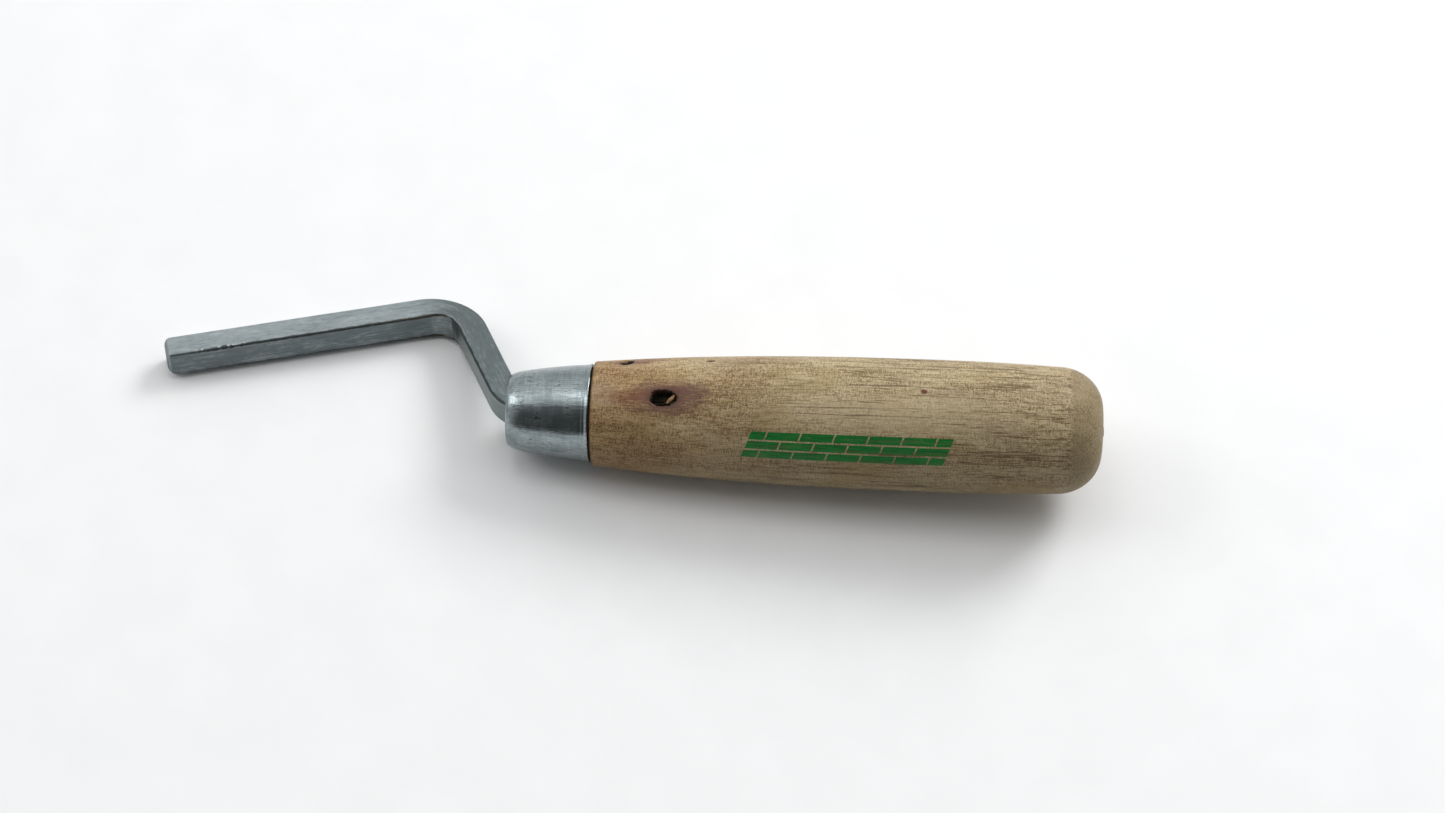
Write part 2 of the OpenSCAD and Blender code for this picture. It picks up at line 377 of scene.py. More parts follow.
def ferrule_profile():
    """The shell's closed outline: outside, rolled rear lip, inside, and the rim of the open mouth."""
    wall = FERRULE_WALL
    front = [SHOULDER_LEN * (1 - math.cos(a)) for a in np.linspace(0, math.pi / 2, 14)]
    body = list(np.linspace(SHOULDER_LEN, FERRULE_LEN - wall / 2, SHELL_STEPS)[1:])
    outside = [(s, ferrule_r(s) - SKIN) for s in front + body]
    rear_r = ferrule_r(FERRULE_LEN - wall / 2) - wall / 2
    lip = [(FERRULE_LEN - wall / 2 + (wall / 2 - SKIN) * math.sin(a), rear_r + wall / 2 * math.cos(a))
           for a in np.linspace(0.2, math.pi - 0.2, 8)]
    inside = [(s, ferrule_r(s) - wall) for s in body[::-1]]
    inside += [(s, ferrule_r(s) - wall) for s in front[:3:-1] if s > wall * 1.3]
    rim = [(wall * depth, MOUTH_R + outward) for depth, outward in RIM]
    rim.append((SKIN * 2, MOUTH_R + RIM_FRONT))
    profile = [(s - FERRULE_LEN, r) for s, r in outside + lip + inside + rim]
    return profile + profile[:1]


def ferrule_shape(x, _angle, own):
    """Shallow dents behind the shoulder, drawing marks, and a slightly uneven lip."""
    dent = 0.03 * (rough(own, 0.16, 3.0) + 1) * smooth_step(x, -FERRULE_LEN, -FERRULE_LEN + 4)
    dent += 0.004 * (rough(own, (0.1, 2.2, 2.2), 5.0) + 1)
    lip_wave = 0.05 * (rough(own, 0.35, 9.0) + 1) * smooth_step(x, -1.6, 0)
    return dent, -lip_wave


def make_ferrule():
    angles = np.linspace(0, 2 * math.pi, SHELL_SIDES, endpoint=False)
    return turned("ferrule_steel", ferrule_profile(), angles, ferrule_shape, closed_ends=False)


def arc(mark):
    """A mark's place round the handle, as a length."""
    return math.radians(mark[1]) * ROUND_R


def barrel_r(x):
    if x < BELLY_X:
        return GRIP_R - NECK_DROP * ((BELLY_X - x) / BELLY_X) ** BARREL_POWER
    r = GRIP_R - TAIL_DROP * ((min(x, BUTT_X) - BELLY_X) / (BUTT_X - BELLY_X)) ** 2
    if x > BUTT_X:
        r -= BUTT_DROP * (1 - math.sqrt(max(0.0, 1 - ((x - BUTT_X) / BUTT_LEN) ** 2)))
    return r


def mark_places(x, angle, mark):
    """Offsets from a mark's centre in units of its half size."""
    r = barrel_r(mark[0])
    turn = np.degrees(angle) - mark[1]
    turn = (turn + 180) % 360 - 180
    return (x - mark[0]) / mark[2], np.radians(turn) * r / mark[3]


def barrel_stations():
    """Places along the barrel, closer together at the knots."""
    stations = [WOOD_GAP + 0.4]
    while stations[-1] < BUTT_X:
        near = min(abs(stations[-1] - mark[0]) - mark[2] for mark in (KNOT, SMALL_KNOT))
        stations.append(stations[-1] + (FINE_STEP if near < 0.7 else BARREL_STEP))
    return stations[:-1]


def handle_profile():
    """The wood's outline from its nose inside the ferrule to the stub on its butt."""
    tenon = [(s - FERRULE_LEN, ferrule_r(s) - FERRULE_WALL - 0.05)
             for s in np.linspace(NOSE_DEPTH + 0.4, FERRULE_LEN - LIP_LEN / 2, 24)]
    nose = [(NOSE_DEPTH - FERRULE_LEN + SKIN, r) for r in (0.6, 2, 3.5, 5, 6.2, 7.2)]
    shoulder_r = barrel_r(WOOD_GAP) - SKIN
    shoulder = [(WOOD_GAP + 0.03, tenon[-1][1]), (WOOD_GAP + 0.02, shoulder_r - 0.35)]
    shoulder += [(WOOD_GAP + 0.3 * (1 - math.cos(a)) + 0.02, shoulder_r - 0.3 + 0.3 * math.sin(a))
                 for a in np.linspace(0.2, math.pi / 2, 6)]
    barrel = [(x, barrel_r(x) - SKIN) for x in barrel_stations()]
    butt = [BUTT_X + BUTT_LEN * math.sin(a) for a in np.linspace(0, math.pi / 2, 40)]
    end = [(min(x, WOOD_LEN - SKIN), barrel_r(min(x, WOOD_LEN)) - SKIN) for x in butt]
    dome = [(WOOD_LEN - SKIN, r) for r in np.linspace(end[-1][1], STUB_R + 0.4, 8)[1:]]
    top = WOOD_LEN + STUB_H
    stub = [(WOOD_LEN + 0.02, STUB_R + 0.12), (WOOD_LEN + 0.12, STUB_R - 0.02),
            (WOOD_LEN + 0.3, STUB_R - 0.05), (top - 0.06, STUB_R - 0.15),
            (top - 0.03, STUB_R * 0.6), (top - 0.05, 0.2)]
    return nose + tenon + shoulder + barrel + end + dome + stub


def handle_angles():
    """Angles round the handle, closer together at the knots."""
    fine = np.linspace(0, 360, 3601)
    density = 1
    for mark, extra, spread in ((KNOT, 2.5, 11), (SMALL_KNOT, 2.0, 7)):
        density = density + extra * np.exp(-((fine - mark[1]) / spread) ** 2)
    total = np.concatenate([[0], np.cumsum((density[1:] + density[:-1]) / 2)])
    return np.radians(np.interp(np.linspace(0, total[-1], HANDLE_SIDES + 1)[:-1], total, fine))


def handle_shape(x, angle, own):
    """Faint turning waves, the two knots and the dent."""
    sink = smooth_step(x, 1.0, 3.0) * 0.02 * (rough(own, (0.05, 0.1, 0.1), 2.0) + 1)
    for mark, depth, edge in ((KNOT, 2.6, 0.28), (SMALL_KNOT, 0.9, 0.5)):
        u, v = mark_places(x, angle, mark)
        jag = 0.1 * rough(own, 0.9, 11.0) + 0.14 * rough(own, 2.6, 4.0)
        narrowed = 1 - 0.35 * smooth_step(u, 0.1, 1.0)
        reach = (np.abs(u) ** 3.4 + np.abs(v / narrowed) ** 3.4) ** (1 / 3.4) + jag
        hole = depth * (1 - smooth_step(reach, 1 - edge, 1.0))
        sink = sink + hole * (1 + 0.25 * rough(own, 1.4, 6.0))
        # the wood falls away a little towards a knot
        sink = sink + 0.05 * (1 - smooth_step(reach, 1.0, 1.7))
    u, v = mark_places(x, angle, DASH)
    sink = sink + 0.18 * np.exp(-(u ** 2 + v ** 2) * 1.5)
    return sink, np.zeros_like(x)


def make_handle():
    return turned("wood_handle_turned", handle_profile(), handle_angles(), handle_shape)


def make_splinter():
    """The sliver of wood left standing across the corner of the knot hole."""
    x, angle, half_x, half_v = KNOT
    r = barrel_r(x)
    sides = 10
    rings = []
    for f in np.linspace(0, 1, 14):
        along = 0.25 + 0.62 * f
        up = 0.62 - 1.15 * f
        lift = -0.55 + 0.25 * math.sin(f * math.pi) - 0.2 * f
        width = 0.34 * math.sin(math.pi * (0.12 + 0.8 * f)) + 0.1
        px, pa, pr = x + along * half_x, math.radians(angle) + up * half_v / r, r + lift
        centre = np.array([px, pr * math.cos(pa), pr * math.sin(pa)])
        radial = np.array([0, math.cos(pa), math.sin(pa)])
        round_dir = np.array([0.86, -0.5 * math.sin(pa), 0.5 * math.cos(pa)])
        ring = []
        for k in range(sides):
            t = 2 * math.pi * k / sides
            wide = width * math.cos(t) * (1 + 0.25 * noise.noise(Vector((px * 2, k, 1))))
            ring.append(centre + round_dir * wide + radial * 0.28 * math.sin(t))
        rings.append(ring)
    points = np.array(rings)
    piece = grid_mesh("knot_splinter", points, points.copy())
    face_outward(piece)
    return piece


# ================================================================ materials
class Nodes:
    """Short calls for the nodes of a material or of the world."""

    def __init__(self, tree):
        self.tree = tree

    def put(self, socket, value):
        if isinstance(value, bpy.types.NodeSocket):
            self.tree.links.new(value, socket)
        elif value is not None:
            socket.default_value = value

    def place(self, name="own"):
        node = self.tree.nodes.new("ShaderNodeAttribute")
        node.attribute_name = name
        return node.outputs["Vector"]

    def stretch(self, vector, scale, shift=(0, 0, 0)):
        node = self.tree.nodes.new("ShaderNodeMapping")
        self.put(node.inputs["Vector"], vector)
        node.inputs["Scale"].default_value = scale
        node.inputs["Location"].default_value = shift
        return node.outputs["Vector"]

    def noise(self, vector, scale=1.0, detail=3.0, roughness=0.5, distortion=0.0):
        node = self.tree.nodes.new("ShaderNodeTexNoise")
        self.put(node.inputs["Vector"], vector)
        node.inputs["Scale"].default_value = scale
        node.inputs["Detail"].default_value = detail
        node.inputs["Roughness"].default_value = roughness
        node.inputs["Distortion"].default_value = distortion
        return node.outputs["Fac"]

    def math(self, kind, a, b=None):
        node = self.tree.nodes.new("ShaderNodeMath")
        node.operation = kind
        for socket, value in zip(node.inputs, (a, b)):
            self.put(socket, value)
        return node.outputs[0]

    def add(self, a, b):
        return self.math("ADD", a, b)

    def less(self, a, b):
        return self.math("SUBTRACT", a, b)

    def times(self, a, b):
        return self.math("MULTIPLY", a, b)

    def fade(self, value, low, high, to_low=0.0, to_high=1.0):
        node = self.tree.nodes.new("ShaderNodeMapRange")
        node.interpolation_type = "SMOOTHSTEP"
        self.put(node.inputs["Value"], value)
        ends = (("From Min", low), ("From Max", high), ("To Min", to_low), ("To Max", to_high))
        for name, number in ends:
            node.inputs[name].default_value = number
        return node.outputs["Result"]

    def mix(self, factor, a, b):
        """Mixes two colours."""
        node = self.tree.nodes.new("ShaderNodeMix")
        node.data_type = "RGBA"
        for number, value in ((0, factor), (6, a), (7, b)):
            self.put(node.inputs[number], value)
        return node.outputs[2]

    def mix_levels(self, factor, a, b):
        """Mixes two plain values."""
        node = self.tree.nodes.new("ShaderNodeMix")
        node.data_type = "FLOAT"
        for number, value in ((0, factor), (2, a), (3, b)):
            self.put(node.inputs[number], value)
        return node.outputs[0]

    def split(self, vector):
        node = self.tree.nodes.new("ShaderNodeSeparateXYZ")
        self.put(node.inputs[0], vector)
        return node.outputs[0], node.outputs[1], node.outputs[2]

    def join(self, x, y, z):
        node = self.tree.nodes.new("ShaderNodeCombineXYZ")
        for socket, value in zip(node.inputs, (x, y, z)):
            self.put(socket, value)
        return node.outputs[0]

    def bump(self, height, strength, distance, under=None):
        node = self.tree.nodes.new("ShaderNodeBump")
        node.inputs["Strength"].default_value = strength
        node.inputs["Distance"].default_value = distance
        self.put(node.inputs["Height"], height)
        self.put(node.inputs["Normal"], under)
        return node.outputs["Normal"]

    def spot(self, x, v, centre_x, centre_v, half_x, half_v):
        """Distance from a place on a surface, in units of a half size."""
        du = self.math("DIVIDE", self.less(x, centre_x), half_x)
        dv = self.math("DIVIDE", self.less(v, centre_v), half_v)
        return self.math("SQRT", self.add(self.times(du, du), self.times(dv, dv)))

    def across(self):
        """The direction across the brushing, which follows the skin map's first axis."""
        node = self.tree.nodes.new("ShaderNodeTangent")
        node.direction_type = "UV_MAP"
        node.uv_map = "skin"
        return node.outputs[0]


class Look(Nodes):
    """A material, with its shader."""

    def __init__(self, name):
        self.material = bpy.data.materials.new(name)
        self.material.use_nodes = True
        super().__init__(self.material.node_tree)
        self.shader = self.tree.nodes["Principled BSDF"]

    def set(self, **values):
        for name, value in values.items():
            self.put(self.shader.inputs[name.replace("_", " ")], value)


def rgb(r, g, b):
    """A colour from its sRGB values, 0 to 255, as linear light."""
    def linear(c):
        c /= 255
        return c / 12.92 if c <= 0.04045 else ((c + 0.055) / 1.055) ** 2.4
    return (linear(r), linear(g), linear(b), 1.0)


def bar_oxide(look, own, s, t, w, inner_face, colour):
    """Dark oxide along the bar's inner edges, flecked with bright burrs where the edge is torn; the
    burrs' brightness is partly bare metal and partly painted glints.
    """
    edge_t = look.add(t, HALF)
    edge_w = look.less(HALF, look.math("ABSOLUTE", w))
    edge = look.math("SQRT", look.add(look.times(edge_t, edge_t), look.times(edge_w, edge_w)))
    ragged = look.noise(look.stretch(own, (0.55, 0.9, 0.9), (3, 0, 0)), detail=3, roughness=0.6)
    burrs = look.noise(look.stretch(own, (1.5, 0.4, 0.4), (3, 0, 0)), detail=2, roughness=0.6)
    torn = look.times(look.fade(s, 4.0, 9.0), look.fade(s, 16.0, 24.0, 1.0, 0.0))
    edge = look.add(edge, look.fade(ragged, 0.3, 0.7, -0.1, 0.1))
    edge = look.add(edge, look.times(torn, look.fade(burrs, 0.35, 0.65, -0.2, 0.14)))
    # the bright flecks are bare metal at the burrs, with painted glints
    flecks = look.times(look.fade(burrs, 0.5, 0.6), look.fade(edge, 0.95, 0.6, 0.0, 1.0))
    flecks = look.times(look.times(flecks, torn), look.less(1.0, inner_face))
    colour = look.mix(look.times(flecks, 0.5), colour, rgb(216, 222, 222))
    oxide = look.times(look.fade(edge, 0.36, 0.62, 1.0, 0.0), look.fade(s, 3.0, 14.0, 0.4, 1.0))
    rust = look.mix(look.fade(s, BEND_START - 16.0, BEND_START), rgb(58, 62, 60), rgb(70, 62, 50))
    past_bend = look.fade(s, BEND_START + BEND_LEN * 0.5, BEND_START + BEND_LEN)
    rust = look.mix(past_bend, rust, rgb(52, 58, 56))
    return look.mix(look.times(oxide, 0.85), colour, rust), oxide


def bend_marks(look, s, w, mottle, inner_face, colour):
    """The press mark and the crease inside the blade bend, with painted shade in the crease."""
    # painted shade: the crease is darkened where shade falls in it
    crease_s = BEND_START + BEND_LEN * CREASE_AT
    crease = look.math("ABSOLUTE", look.less(look.add(s, look.times(w, 0.1)), crease_s))
    crease = look.times(look.fade(crease, 0.2, 0.75, 1.0, 0.0), inner_face)
    mark = look.spot(s, w, BEND_START + BEND_LEN * 0.42, -0.1, 1.5, 2.2)
    mark = look.add(mark, look.fade(mottle, 0.3, 0.7, -0.4, 0.4))
    mark = look.times(look.fade(mark, 0.7, 1.15, 1.0, 0.0), inner_face)
    colour = look.mix(look.times(mark, 0.8), colour, rgb(142, 150, 132))
    return look.mix(look.times(crease, 0.85), colour, rgb(50, 52, 46))


def bar_steel():
    """Drawn steel with painted light and shade: the blade's wide faces are painted bright and its inner
    faces dark, while the arm's wide faces are painted darker and its inner faces lighter; the inner
    faces are less mottled.
    """
    look = Look("bar_steel")
    own = look.place()
    s, t, w = look.split(own)
    streaks = look.noise(look.stretch(own, (0.16, 4.2, 4.2)), detail=5, roughness=0.62)
    fine = look.noise(look.stretch(own, (0.4, 14, 14)), detail=4, roughness=0.7)
    mottle = look.noise(look.stretch(own, (0.45, 1.3, 1.3)), detail=6, roughness=0.66)
    patches = look.noise(look.stretch(own, (0.1, 0.35, 0.35), (2, 0, 0)), detail=3)
    blade = look.fade(s, BEND_START - 4.0, BEND_START + BEND_LEN * 0.55, 1.0, 0.0)
    inner_face = look.fade(t, -HALF + 0.3, -HALF + 0.06, 0.0, 1.0)

    # painted light and shade: the blade's wide face is painted bright and the arm's darker, the blade's
    # inner face dark and the arm's lighter
    wide = look.mix(blade, rgb(112, 121, 122), rgb(158, 167, 169))
    inner_face_painted_light = look.mix(blade, rgb(126, 136, 136), rgb(100, 109, 111))
    colour = look.mix(inner_face, wide, inner_face_painted_light)
    shade = look.fade(mottle, 0.3, 0.72, -0.5, 0.5)
    shade = look.add(shade, look.fade(streaks, 0.3, 0.72, 0.5, -0.5))
    shade = look.add(shade, look.fade(fine, 0.3, 0.7, 0.3, -0.3))
    shade = look.add(shade, look.fade(patches, 0.3, 0.7, -0.35, 0.35))
    calm = look.less(1.0, look.times(inner_face, 0.5))
    calm = look.times(calm, look.fade(blade, 0.0, 1.0, 0.6, 1.0))
    light = look.fade(shade, 0.0, 1.0, 0.0, 0.34)
    dark = look.fade(shade, 0.0, -1.0, 0.0, 0.36)
    colour = look.mix(look.times(light, calm), colour, rgb(214, 222, 223))
    colour = look.mix(look.times(dark, calm), colour, rgb(70, 78, 80))
    pits = look.noise(look.stretch(own, (0.9, 1.3, 1.3), (9, 3, 1)), detail=1)
    pits = look.fade(pits, 0.765, 0.79)
    colour = look.mix(look.times(pits, 0.6), colour, rgb(62, 68, 68))
    colour, oxide = bar_oxide(look, own, s, t, w, inner_face, colour)
    # the sheared end
    colour = look.mix(look.fade(s, 0.1, 1.0, 0.8, 0.0), colour, rgb(84, 92, 92))
    colour = bend_marks(look, s, w, mottle, inner_face, colour)

    roughness = look.add(look.fade(streaks, 0.3, 0.7, 0.27, 0.36), look.times(oxide, 0.25))
    look.set(Base_Color=colour, Metallic=1.0, Roughness=roughness, Anisotropic=0.6,
             Anisotropic_Rotation=0.25, Tangent=look.across())
    low = look.bump(streaks, 0.14, 0.00005)
    low = look.bump(mottle, 0.1, 0.0001, low)
    look.set(Normal=look.bump(fine, 0.14, 0.00002, low))
    return look.material


def ferrule_steel():
    """Pressed bright steel with fine lengthwise drawing lines, smudges and a few long scratches."""
    look = Look("ferrule_steel")
    own = look.place()
    x, y, z = look.split(own)
    streaks = look.noise(look.stretch(own, (0.04, 2.1, 2.1)), detail=3, roughness=0.6)
    fine = look.noise(look.stretch(own, (0.12, 8, 8)), detail=2, roughness=0.6)
    cloud = look.noise(look.stretch(own, (0.28, 0.28, 0.28)), detail=3, roughness=0.5)
    hoops = look.noise(look.stretch(own, (2.6, 0.12, 0.12), (3, 0, 0)), detail=3, roughness=0.6)
    colour = look.mix(look.fade(cloud, 0.32, 0.68), rgb(130, 140, 142), rgb(150, 160, 161))
    shade = look.fade(streaks, 0.3, 0.72, 0.5, -0.5)
    shade = look.add(shade, look.fade(fine, 0.3, 0.7, 0.4, -0.4))
    shade = look.add(shade, look.fade(hoops, 0.3, 0.7, -0.3, 0.3))
    colour = look.mix(look.fade(shade, 0.0, 1.0, 0.0, 0.3), colour, rgb(208, 215, 216))
    colour = look.mix(look.fade(shade, 0.0, -1.0, 0.0, 0.36), colour, rgb(72, 80, 82))
    # a few long scratches from handling
    scratch = look.noise(look.stretch(own, (0.045, 1.7, 1.7), (1.5, 4, 0)), detail=1.5, roughness=0.4)
    scratch = look.fade(look.math("ABSOLUTE", look.less(scratch, 0.5)), 0.01, 0.035, 1.0, 0.0)
    scratch = look.times(scratch, look.fade(cloud, 0.54, 0.6))
    colour = look.mix(look.times(scratch, 0.7), colour, rgb(62, 68, 70))
    # two knocks along its lower side and a pit
    from_low = look.math("ARCTAN2", look.times(z, -1.0), look.times(y, -1.0))
    low_mm = look.times(from_low, FERRULE_REAR_R)
    for centre_x, centre_v, half_x, half_v in KNOCKS:
        knock = look.spot(x, low_mm, centre_x, centre_v, half_x, half_v)
        colour = look.mix(look.fade(knock, 0.5, 1.1, 0.75, 0.0), colour, rgb(66, 72, 74))
    roughness = look.add(look.fade(streaks, 0.3, 0.7, 0.19, 0.26), look.fade(cloud, 0.4, 0.7, 0.0, 0.05))
    look.set(Base_Color=colour, Metallic=1.0, Roughness=roughness, Anisotropic=0.5,
             Anisotropic_Rotation=0.0, Tangent=look.across())
    low = look.bump(streaks, 0.55, 0.00006)
    low = look.bump(hoops, 0.06, 0.00002, low)
    look.set(Normal=look.bump(fine, 0.12, 0.00002, low))
    return look.material


def open_grain(look, own, bent, x):
    """Long thin dark lines, stronger towards the butt, and the slow drift that they follow."""
    drift = look.noise(look.stretch(bent, (0.022, 0.95, 0.95), (20, 0, 5)), detail=2, roughness=0.5)
    lines = look.math("ABSOLUTE", look.less(drift, 0.5))
    lines = look.fade(lines, 0.022, 0.058, 1.0, 0.0)
    broken = look.noise(look.stretch(own, (0.05, 0.9, 0.9), (0, 0, 7)), detail=3, roughness=0.6)
    lines = look.times(lines, look.fade(broken, 0.48, 0.56))
    dashes = look.noise(look.stretch(bent, (0.05, 3.5, 3.5), (4, 0, 5)), detail=2, roughness=0.5)
    many = look.fade(x, 15.0, 95.0, -0.01, 0.05)
    dashes = look.fade(look.add(dashes, many), 0.66, 0.70)
    line = look.math("MAXIMUM", lines, look.times(dashes, 0.7))
    return look.times(line, look.fade(x, 18.0, 72.0, 0.25, 1.0)), drift


def open_knot(look, x, round_mm, fibre, halo, colour):
    """The open knot: a purple-brown stain with a tail, swept rings, and a dark hole."""
    knot = look.add(look.spot(x, round_mm, KNOT[0] + 0.6, arc(KNOT), 8.6, 4.5), halo)
    colour = look.mix(look.fade(knot, 0.2, 1.25, 0.85, 0.0), colour, rgb(104, 74, 68))
    tail = look.add(look.spot(x, round_mm, KNOT[0] - 8, arc(KNOT) - 0.3, 9.5, 2.4), halo)
    colour = look.mix(look.fade(tail, 0.3, 1.1, 0.38, 0.0), colour, rgb(122, 76, 54))
    swept = look.spot(x, round_mm, KNOT[0] + 0.4, arc(KNOT), 1.9, 1.15)
    swept = look.add(swept, look.fade(fibre, 0.3, 0.7, -0.6, 0.6))
    rings = look.fade(look.math("SINE", look.times(swept, 5.2)), 0.2, 1.0)
    rings = look.times(rings, look.fade(swept, 3.0, 6.4, 0.4, 0.0))
    rings = look.times(rings, look.fade(x, KNOT[0] - 1.0, KNOT[0] + 4.0, 0.25, 1.0))
    colour = look.mix(rings, colour, rgb(80, 56, 44))
    rim = look.spot(x, round_mm, KNOT[0], arc(KNOT), KNOT[2] * 1.55, KNOT[3] * 1.6)
    colour = look.mix(look.fade(rim, 0.55, 1.05, 0.72, 0.0), colour, rgb(82, 58, 52))
    inside = look.spot(x, round_mm, KNOT[0], arc(KNOT), KNOT[2] * 1.06, KNOT[3] * 1.08)
    return look.mix(look.fade(inside, 0.86, 1.08, 0.95, 0.0), colour, rgb(40, 38, 30))


def small_marks(look, x, round_mm, halo, colour):
    """The small knot with its stain, the dash and the speck."""
    stain = look.add(look.spot(x, round_mm, SMALL_KNOT[0] + 1.5, arc(SMALL_KNOT), 8.0, 3.4), halo)
    colour = look.mix(look.fade(stain, 0.2, 1.1, 0.75, 0.0), colour, rgb(104, 72, 64))
    core = look.spot(x, round_mm, SMALL_KNOT[0], arc(SMALL_KNOT), SMALL_KNOT[2], SMALL_KNOT[3])
    colour = look.mix(look.fade(core, 0.85, 1.1, 1.0, 0.0), colour, rgb(26, 22, 20))
    for mark, tint in ((DASH, rgb(66, 40, 36)), (SPECK, rgb(92, 46, 36))):
        place = look.spot(x, round_mm, mark[0], arc(mark), mark[2], mark[3])
        colour = look.mix(look.fade(place, 0.7, 1.15, 0.9, 0.0), colour, tint)
    return colour


def brick_band(look, x, round_mm):
    """Where the green ink lies: a slanted band of bricks, in place of the maker's print."""
    length, height = PRINT[2:]
    soft = 0.06
    across = look.less(round_mm, arc(PRINT))
    slant = look.times(across, math.tan(PRINT_SLANT))
    along = look.add(look.less(x, PRINT[0]), slant)
    tile = look.tree.nodes.new("ShaderNodeTexBrick")
    shifted = look.join(look.add(along, length / 2), look.add(across, height / 2), 0.0)
    look.put(tile.inputs["Vector"], shifted)
    tile.offset = 0.5
    tile.squash = 1.0
    sizes = (("Scale", 1.0), ("Mortar Size", BRICK_JOINT / 2), ("Mortar Smooth", 0.15), ("Bias", 0.0),
             ("Brick Width", length / BRICKS_LONG), ("Row Height", height / BRICK_COURSES))
    for name, number in sizes:
        tile.inputs[name].default_value = number
    ink = look.less(1.0, tile.outputs["Fac"])
    for distance, whole in ((along, length), (across, height)):
        half = whole / 2 - BRICK_JOINT / 2
        within = look.fade(look.math("ABSOLUTE", distance), half - soft, half + soft, 1.0, 0.0)
        ink = look.times(ink, within)
    return ink


def handle_wood():
    """Sanded and oiled hardwood, with its fibres along the handle, knots, stains and a printed band."""
    look = Look("handle_wood")
    own = look.place()
    x, y, z = look.split(own)
    # angle round the handle, as a length on its surface, so that marks keep their size
    angle = look.math("ARCTAN2", z, y)
    round_mm = look.times(angle, ROUND_R)

    # the grain bends round the open knot
    near = look.spot(x, round_mm, KNOT[0], arc(KNOT), 10.0, 6.0)
    away = look.less(round_mm, arc(KNOT))
    push = look.times(look.fade(near, 0.0, 1.0, 0.6, 0.0), away)
    bent = look.join(x, look.add(y, look.times(push, 0.9)), z)

    figure = look.noise(look.stretch(bent, (0.03, 0.42, 0.42)), detail=2, roughness=0.5, distortion=0.5)
    wander = look.noise(look.stretch(bent, (0.05, 0.11, 0.11), (1, 2, 3)), detail=2, roughness=0.5)
    fibre = look.noise(look.stretch(bent, (0.22, 2.6, 2.6)), detail=5, roughness=0.68, distortion=0.2)
    hair = look.noise(look.stretch(bent, (0.35, 4.2, 4.2)), detail=4, roughness=0.7)
    flecks = look.noise(look.stretch(own, (3.4, 0.8, 0.8), (7, 0, 0)), detail=3, roughness=0.7)
    speck = look.noise(look.stretch(own, (3.0, 3.0, 3.0), (0, 9, 0)), detail=4, roughness=0.8)

    tone = 0.5
    weights = ((figure, 0.6), (wander, 0.45), (fibre, 0.6), (hair, 1.45), (flecks, 1.3), (speck, 2.0))
    for part, weight in weights:
        tone = look.add(tone, look.times(look.less(part, 0.5), weight))
    tone = look.fade(tone, 0.05, 0.9)
    to_middle = look.fade(look.add(x, look.fade(wander, 0.3, 0.7, -9.0, 9.0)), 4.0, 46.0)
    pale = look.mix(to_middle, rgb(177, 148, 108), rgb(190, 173, 138))
    deep = look.mix(to_middle, rgb(92, 65, 39), rgb(106, 86, 54))
    colour = look.mix(tone, deep, pale)

    patch = look.noise(look.stretch(own, (0.06, 0.09, 0.09), (40, 0, 0)), detail=2)
    colour = look.mix(look.fade(patch, 0.52, 0.7, 0.0, 0.4), colour, rgb(150, 128, 84))
    colour = look.mix(look.fade(patch, 0.48, 0.3, 0.0, 0.3), colour, rgb(168, 148, 124))

    # a paler length where the grip is held
    held = look.spot(x, round_mm, 70.0, math.radians(131) * ROUND_R, 30.0, 5.6)
    held = look.add(held, look.fade(figure, 0.3, 0.7, -0.3, 0.3))
    colour = look.mix(look.fade(held, 0.2, 1.2, 0.42, 0.0), colour, rgb(196, 180, 146))

    # painted shade: the side that lies down, towards the floor, is darkened
    painted_underside_shade = look.add(look.times(y, -0.94), look.times(z, -0.342))
    colour = look.mix(look.fade(painted_underside_shade, 8.0, 14.0, 0.0, 0.36), colour, rgb(98, 80, 54))

    # the open grain stops where the butt is sanded
    line, drift = open_grain(look, own, bent, x)
    sanded = look.add(x, look.fade(speck, 0.3, 0.7, -0.5, 0.5))
    sanded = look.fade(sanded, SANDED_X, SANDED_X + 1.4)
    line = look.times(line, look.less(1.0, look.times(sanded, 0.7)))
    colour = look.mix(look.times(line, 0.66), colour, rgb(80, 60, 34))
    # a pale band beside some lines
    beside = look.fade(look.math("ABSOLUTE", look.less(drift, 0.535)), 0.0, 0.02, 1.0, 0.0)
    colour = look.mix(look.times(beside, 0.14), colour, rgb(214, 198, 166))

    halo = look.fade(fibre, 0.3, 0.7, -0.4, 0.4)
    halo = look.add(halo, look.fade(wander, 0.35, 0.65, -0.2, 0.2))
    colour = open_knot(look, x, round_mm, fibre, halo, colour)
    colour = small_marks(look, x, round_mm, halo, colour)
    # a dark line of dirt at the ferrule
    colour = look.mix(look.fade(x, 0.35, 0.9, 0.75, 0.0), colour, rgb(70, 50, 32))

    # the sanded butt: greyer and more even, with paler end grain
    end_grain = look.noise(look.stretch(own, (1.4, 2.6, 2.6), (5, 0, 0)), detail=4, roughness=0.7)
    end_colour = look.mix(look.fade(end_grain, 0.3, 0.72), rgb(104, 89, 62), rgb(148, 132, 102))
    colour = look.mix(look.times(sanded, 0.6), colour, end_colour)

    ink = brick_band(look, x, round_mm)
    worn = look.add(look.fade(hair, 0.58, 0.78, 0.0, 0.3), look.times(line, 0.25))
    ink = look.times(ink, look.less(0.97, worn))
    green = look.mix(look.fade(fibre, 0.35, 0.7), rgb(20, 118, 50), rgb(12, 88, 36))
    colour = look.mix(ink, colour, green)

    roughness = look.add(look.fade(fibre, 0.3, 0.7, 0.42, 0.56), look.times(ink, -0.08))
    look.set(Base_Color=colour, Roughness=roughness, Specular_IOR_Level=0.12)
    low = look.bump(fibre, 0.25, 0.0001)
    low = look.bump(flecks, 0.15, 0.00006, low)
    low = look.bump(speck, 0.15, 0.00005, low)
    look.set(Normal=look.bump(look.less(1.0, line), 0.4, 0.00008, low))
    return look.material


